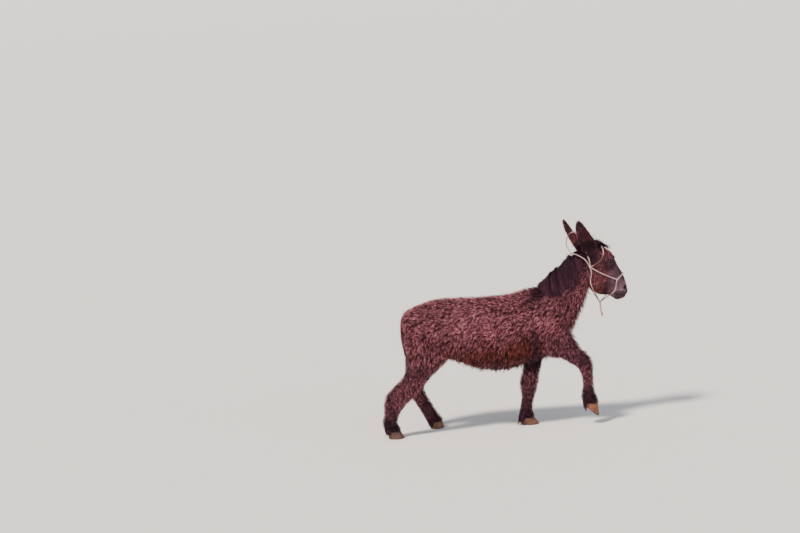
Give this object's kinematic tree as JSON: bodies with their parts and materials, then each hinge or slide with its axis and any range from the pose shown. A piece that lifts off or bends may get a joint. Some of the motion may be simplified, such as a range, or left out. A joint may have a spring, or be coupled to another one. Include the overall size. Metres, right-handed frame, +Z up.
{
  "type": "donkey",
  "caption": "Still life-size shaggy young donkey in mid step, right fore foot lifted, wearing a rope halter.",
  "frame": {"origin": "middle of the bounding box at the floor, under the barrel", "axes": "+X towards the muzzle, +Y to the donkey's left, +Z up; the right side, with the lifted fore foot, is at -Y"},
  "size_m": [2.118, 0.5466, 1.714],
  "materials": {
    "coat_body": "shaggy hair",
    "coat_head": "short hair",
    "coat_dark": "long dark hair",
    "coat_leg": "shaggy hair",
    "eye": "wet",
    "hoof": "dull horn",
    "rope": "twisted cord"
  },
  "bodies": {
    "root": {"ear_left": "coat_dark", "ear_right": "coat_dark", "eye_left": "eye", "eye_right": "eye", "halter_bow": "rope", "halter_brow": "rope", "halter_cheek_left": "rope", "halter_cheek_right": "rope", "halter_crown": "rope", "halter_end": "rope", "halter_jaw_left": "rope", "halter_jaw_right": "rope", "halter_knot_cheek_left": "rope", "halter_knot_cheek_right": "rope", "halter_knot_chin": "rope", "halter_knot_crest": "rope", "halter_knot_nose_left": "rope", "halter_knot_nose_right": "rope", "halter_knot_poll": "rope", "halter_nose": "rope", "halter_poll": "rope", "halter_throat_left": "rope", "halter_throat_right": "rope", "head": "coat_head", "hoof_front_left": "hoof", "hoof_front_right": "hoof", "hoof_hind_left": "hoof", "hoof_hind_right": "hoof", "leg_front_left": "coat_leg", "leg_front_right": "coat_leg", "leg_hind_left": "coat_leg", "leg_hind_right": "coat_leg", "neck": "coat_body", "shank_front_left": "coat_leg", "shank_front_right": "coat_leg", "shank_hind_left": "coat_leg", "shank_hind_right": "coat_leg", "tail": "coat_dark", "torso": "coat_body"}
  },
  "joints": []
}
